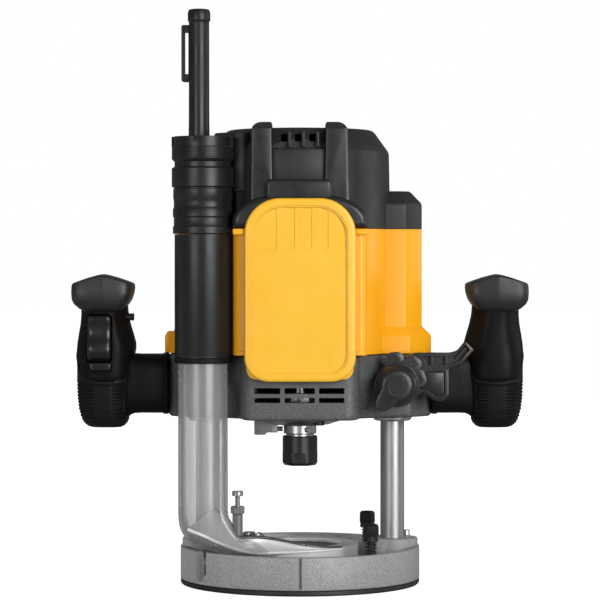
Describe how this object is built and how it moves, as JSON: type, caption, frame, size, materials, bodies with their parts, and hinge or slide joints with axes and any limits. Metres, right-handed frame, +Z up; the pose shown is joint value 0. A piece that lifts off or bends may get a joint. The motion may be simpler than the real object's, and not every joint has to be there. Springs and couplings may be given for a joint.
{
  "type": "plunge router",
  "caption": "Plunge router with round base, twin columns, yellow motor housing with black cap, pod handles and a clear telescoping dust duct.",
  "frame": {"origin": "centre of the round sole's underside, on the spindle's axis", "axes": "+Z up along the spindle and the plunge; -Y towards the front cover; -X towards the handle with the switch"},
  "size_m": [0.329, 0.17, 0.406],
  "materials": {
    "yellow_shell": "moulded satin",
    "black_nylon": "moulded fine grain",
    "black_rubber": "matt",
    "cast_metal": "speckled casting",
    "steel": "ground",
    "black_steel": "blackened",
    "clear_plastic": "clear, slightly smoky",
    "phenolic": "matt",
    "copper": "bright",
    "iron": "laminated"
  },
  "bodies": {
    "base": {"base_casting": "cast_metal", "sole_plate": "phenolic", "sole_screw_1": "steel", "sole_screw_2": "steel", "sole_screw_3": "steel", "left_column": "steel", "right_column": "steel", "left_plunge_spring": "steel", "right_plunge_spring": "steel", "dust_hood": "clear_plastic", "turret_pivot_screw": "steel"},
    "turret": {"turret": "cast_metal", "turret_lock_nut": "steel"},
    "stop_high": {"turret_stop_high": "steel"},
    "stop_middle": {"turret_stop_middle": "steel"},
    "stop_low": {"turret_stop_low": "steel"},
    "fence_clamp_front": {"fence_clamp_screw_front": "black_nylon", "fence_clamp_spring_front": "black_steel"},
    "fence_clamp_rear": {"fence_clamp_screw_rear": "black_nylon", "fence_clamp_spring_rear": "black_steel"},
    "head": {"motor_bracket": "cast_metal", "motor_housing": "yellow_shell", "top_cap": "black_nylon", "front_cover": "yellow_shell", "stator": "iron", "upper_bearing": "steel", "lower_bearing": "steel", "left_brush_holder": "copper", "right_brush_holder": "copper", "electronics_module": "black_nylon", "bearing_retainer": "steel", "retainer_screw_1": "black_steel", "retainer_screw_2": "black_steel", "left_bush": "steel", "right_bush": "steel", "dust_sleeve": "black_nylon", "sleeve_seal": "black_rubber", "hose_adaptor": "black_nylon", "cord_guard": "black_rubber", "power_cord": "black_rubber", "left_handle": "black_nylon", "right_handle": "black_nylon", "left_grip": "black_rubber", "right_grip": "black_rubber", "lock_icon_plate": "black_nylon"},
    "trigger": {"trigger": "black_nylon"},
    "lock_on_button": {"lock_on_button": "black_nylon"},
    "plunge_lock": {"plunge_lock_lever": "black_nylon", "lock_bolt": "steel"},
    "selector": {"selector_knob": "black_nylon"},
    "depth_rod": {"depth_rod": "steel"},
    "depth_knob": {"depth_knob": "black_nylon"},
    "depth_clamp": {"depth_clamp_knob": "black_nylon"},
    "speed_dial": {"speed_dial": "black_nylon"},
    "spindle_lock": {"spindle_lock_button": "steel"},
    "spindle": {"spindle_shaft": "steel", "armature": "iron", "fan": "black_nylon", "collet": "steel"},
    "collet_nut": {"collet_nut": "black_steel"}
  },
  "joints": [
    {"name": "plunge", "type": "slide", "parent": "base", "child": "head", "axis": [0, 0, -1], "range_m": [0, 0.08], "stiffness_N_per_m": 600, "springref_m": -0.15, "deforming": ["left_plunge_spring", "right_plunge_spring"]},
    {"name": "spindle_spin", "type": "hinge", "parent": "head", "child": "spindle", "pos_m": [0, 0, 0.1], "axis": [0, 0, 1], "continuous": true},
    {"name": "collet_nut_turn", "type": "hinge", "parent": "spindle", "child": "collet_nut", "pos_m": [0, 0, 0.09], "axis": [0, 0, 1], "continuous": true},
    {"name": "trigger_squeeze", "type": "hinge", "parent": "head", "child": "trigger", "pos_m": [-0.141, -0.015, 0.159], "axis": [-1, 0, 0], "range_deg": [0, 6]},
    {"name": "lock_on_press", "type": "slide", "parent": "head", "child": "lock_on_button", "axis": [-1, 0, 0], "range_m": [0, 0.0035]},
    {"name": "plunge_lock_turn", "type": "hinge", "parent": "head", "child": "plunge_lock", "pos_m": [0.067, -0.0385, 0.142], "axis": [0, 1, 0], "range_deg": [0, 28]},
    {"name": "selector_turn", "type": "hinge", "parent": "head", "child": "selector", "pos_m": [0.067, -0.05, 0.142], "axis": [0, 1, 0], "range_deg": [-37, 37]},
    {"name": "depth_knob_turn", "type": "hinge", "parent": "head", "child": "depth_knob", "pos_m": [-0.0374, 0.066, 0.152], "axis": [0, 1, 0], "range_deg": [-1077, 105]},
    {"name": "depth_rod_slide", "type": "slide", "parent": "head", "child": "depth_rod", "axis": [0, 0, 1], "range_m": [-0.0826, 0.008]},
    {"name": "depth_clamp_turn", "type": "hinge", "parent": "head", "child": "depth_clamp", "pos_m": [-0.06, 0.055, 0.152], "axis": [1, 0, 0], "range_deg": [0, 90]},
    {"name": "speed_dial_turn", "type": "hinge", "parent": "head", "child": "speed_dial", "pos_m": [0.025, 0.0545, 0.285], "axis": [1, 0, 0], "range_deg": [-140, 140]},
    {"name": "spindle_lock_press", "type": "slide", "parent": "head", "child": "spindle_lock", "axis": [1, 0, 0], "range_m": [0, 0.0034]},
    {"name": "turret_turn", "type": "hinge", "parent": "base", "child": "turret", "pos_m": [-0.038, 0.058, 0.025], "axis": [0, 0, 1], "continuous": true},
    {"name": "stop_high_turn", "type": "hinge", "parent": "turret", "child": "stop_high", "pos_m": [-0.04563, 0.055, 0.04], "axis": [0, 0, 1], "continuous": true},
    {"name": "stop_middle_turn", "type": "hinge", "parent": "turret", "child": "stop_middle", "pos_m": [-0.03158, 0.05289, 0.035], "axis": [0, 0, 1], "continuous": true},
    {"name": "stop_low_turn", "type": "hinge", "parent": "turret", "child": "stop_low", "pos_m": [-0.03679, 0.06611, 0.03], "axis": [0, 0, 1], "continuous": true},
    {"name": "fence_clamp_front_turn", "type": "hinge", "parent": "base", "child": "fence_clamp_front", "pos_m": [0.049, -0.047, 0.04], "axis": [0, 0, 1], "continuous": true},
    {"name": "fence_clamp_rear_turn", "type": "hinge", "parent": "base", "child": "fence_clamp_rear", "pos_m": [0.049, 0.047, 0.04], "axis": [0, 0, 1], "continuous": true}
  ],
  "couplings": [
    {"joint": "depth_knob_turn", "follows": "depth_rod_slide", "rad_per_m": 227.27}
  ]
}
